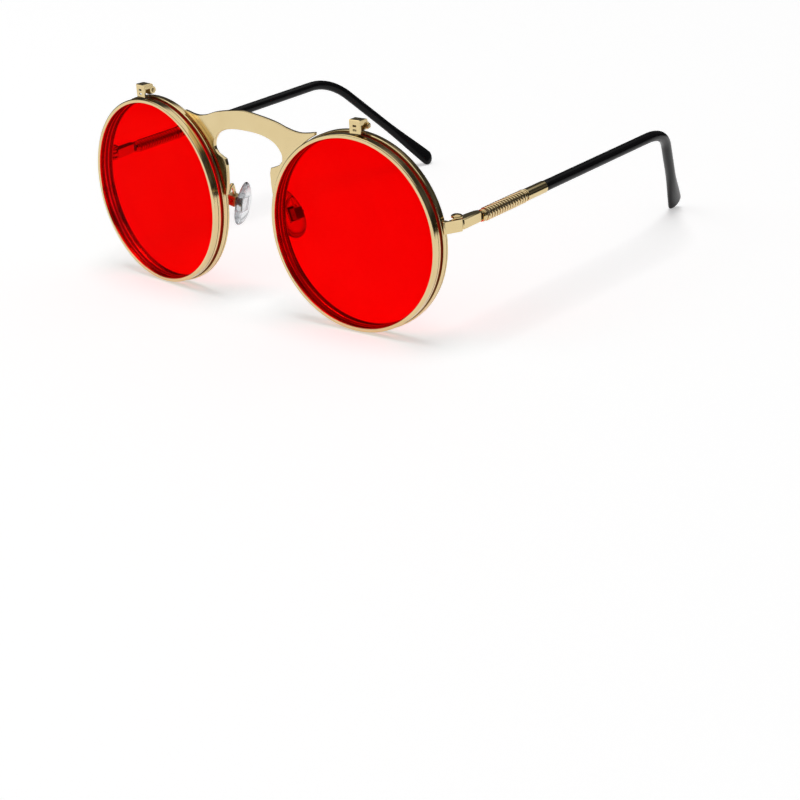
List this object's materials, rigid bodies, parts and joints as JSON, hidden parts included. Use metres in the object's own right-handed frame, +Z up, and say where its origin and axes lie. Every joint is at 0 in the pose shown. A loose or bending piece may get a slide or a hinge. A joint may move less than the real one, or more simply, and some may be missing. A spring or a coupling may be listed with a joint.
{
  "type": "flip_up_glasses",
  "caption": "Round flip-up glasses in pale gold wire with red lenses, a stamped keyhole bridge and coil-sprung temples",
  "frame": {"origin": "on the floor, below the middle of the box round the open glasses", "axes": "+Z up, -Y the way the wearer looks, +X the wearer's left. The temples are open"},
  "size_m": [0.1318, 0.1394, 0.0562],
  "materials": {
    "pale_gold": "polished pale gold plating",
    "screw_gold": "polished gold, a little darker",
    "spring_gold": "bright gold wire",
    "spring_steel": "drawn steel",
    "red_lens": "tinted clear",
    "black_sleeve": "smooth satin",
    "clear_silicone": "clear, soft"
  },
  "bodies": {
    "frame": {"bridge_plate": "pale_gold", "end_piece_left": "pale_gold", "end_piece_right": "pale_gold", "flip_base_left": "pale_gold", "flip_base_right": "pale_gold", "hinge_screw_left": "screw_gold", "hinge_screw_right": "screw_gold", "pad_arm_left": "pale_gold", "pad_arm_right": "pale_gold", "pad_box_left": "pale_gold", "pad_box_right": "pale_gold", "pad_screw_left": "screw_gold", "pad_screw_right": "screw_gold", "rear_lens_left": "red_lens", "rear_lens_right": "red_lens", "rear_rim_left": "pale_gold", "rear_rim_right": "pale_gold"},
    "flip_left": {"flip_rim_left": "pale_gold", "flip_lens_left": "red_lens", "flip_hood_left": "pale_gold", "flip_spring_left": "spring_steel", "flip_pin_left": "screw_gold"},
    "temple_left": {"temple_block_left": "pale_gold", "temple_collar_left": "pale_gold", "temple_core_left": "spring_steel", "coil_spring_left": "spring_gold", "ferrule_left": "pale_gold", "temple_sleeve_left": "black_sleeve"},
    "pad_left": {"nose_pad_left": "clear_silicone", "pad_core_left": "pale_gold"},
    "flip_right": {"flip_rim_right": "pale_gold", "flip_lens_right": "red_lens", "flip_hood_right": "pale_gold", "flip_spring_right": "spring_steel", "flip_pin_right": "screw_gold"},
    "temple_right": {"temple_block_right": "pale_gold", "temple_collar_right": "pale_gold", "temple_core_right": "spring_steel", "coil_spring_right": "spring_gold", "ferrule_right": "pale_gold", "temple_sleeve_right": "black_sleeve"},
    "pad_right": {"nose_pad_right": "clear_silicone", "pad_core_right": "pale_gold"}
  },
  "joints": [
    {"name": "flip_left_hinge", "type": "hinge", "parent": "frame", "child": "flip_left", "pos_m": [0.03883, -0.06376, 0.0544], "axis": [-0.9969, -0.0785, 0], "range_deg": [0, 90]},
    {"name": "temple_left_hinge", "type": "hinge", "parent": "frame", "child": "temple_left", "pos_m": [0.06341, -0.05801, 0.0312], "axis": [0, 0.0349, 0.9994], "range_deg": [0, 80]},
    {"name": "pad_left_hinge", "type": "hinge", "parent": "frame", "child": "pad_left", "pos_m": [0.01197, -0.06107, 0.02652], "axis": [0.2323, 0.9675, 0.0999], "range_deg": [-8, 8]},
    {"name": "flip_right_hinge", "type": "hinge", "parent": "frame", "child": "flip_right", "pos_m": [-0.03883, -0.06376, 0.0544], "axis": [-0.9969, 0.0785, 0], "range_deg": [0, 90]},
    {"name": "temple_right_hinge", "type": "hinge", "parent": "frame", "child": "temple_right", "pos_m": [-0.06341, -0.05801, 0.0312], "axis": [0, 0.0349, -0.9994], "range_deg": [0, 80]},
    {"name": "pad_right_hinge", "type": "hinge", "parent": "frame", "child": "pad_right", "pos_m": [-0.01197, -0.06107, 0.02652], "axis": [-0.2323, 0.9675, 0.0999], "range_deg": [-8, 8]}
  ]
}
